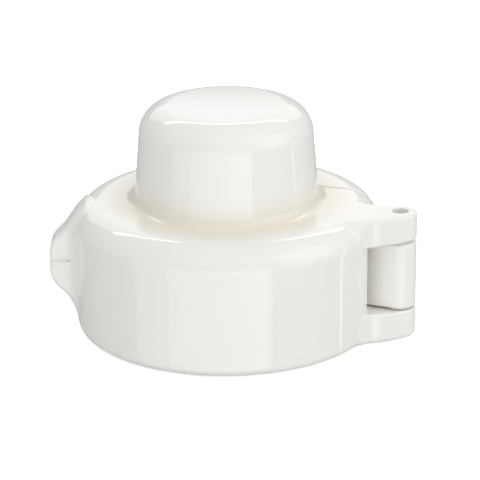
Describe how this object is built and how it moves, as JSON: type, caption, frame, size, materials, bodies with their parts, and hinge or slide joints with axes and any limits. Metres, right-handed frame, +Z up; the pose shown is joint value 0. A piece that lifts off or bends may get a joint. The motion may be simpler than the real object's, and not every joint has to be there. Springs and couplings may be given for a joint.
{
  "type": "liquor pour spout",
  "caption": "Stopper-mounted liquor pourer under a two-tier domed cover that swings open on a side hinge to free its pouring tube.",
  "frame": {"origin": "on the drum's axis, in the plane of the lower rim", "axes": "+Z up along the drum's axis, +X towards the hinge side, -X towards the finger tab, -Y towards the closed front"},
  "size_m": [0.072, 0.06, 0.045],
  "materials": {
    "shell_plastic": "glossy moulded ivory white",
    "plate_steel": "brushed",
    "screw_steel": "bright zinc",
    "pin_steel": "drawn bright",
    "washer_nylon": "natural nylon",
    "magnet_nickel": "nickel plated",
    "gasket_silicone": "matte grey silicone",
    "stem_plastic": "fine satin black",
    "stopper_rubber": "matte black rubber",
    "tube_steel": "polished stainless steel"
  },
  "bodies": {
    "pourer": {"rear_shell": "shell_plastic", "base_plate": "plate_steel", "plate_screws": "screw_steel", "hinge_washers": "washer_nylon", "shell_magnet": "magnet_nickel", "neck_gasket": "gasket_silicone", "stopper_stem": "stem_plastic", "stopper_sleeve": "stopper_rubber", "retaining_ring": "screw_steel", "spout_tube": "tube_steel", "spout_seal": "stopper_rubber", "vent_tube": "tube_steel", "vent_hood": "stem_plastic", "neck_pads": "gasket_silicone"},
    "cover": {"front_cover": "shell_plastic", "hinge_pin": "pin_steel", "cover_magnet": "magnet_nickel", "mouth_pad": "gasket_silicone", "pad_stud": "screw_steel"}
  },
  "joints": [
    {"name": "cover_swing", "type": "hinge", "parent": "pourer", "child": "cover", "pos_m": [0.03352, -0.00898, 0.01285], "axis": [0, 0, 1], "range_deg": [0, 115]}
  ]
}
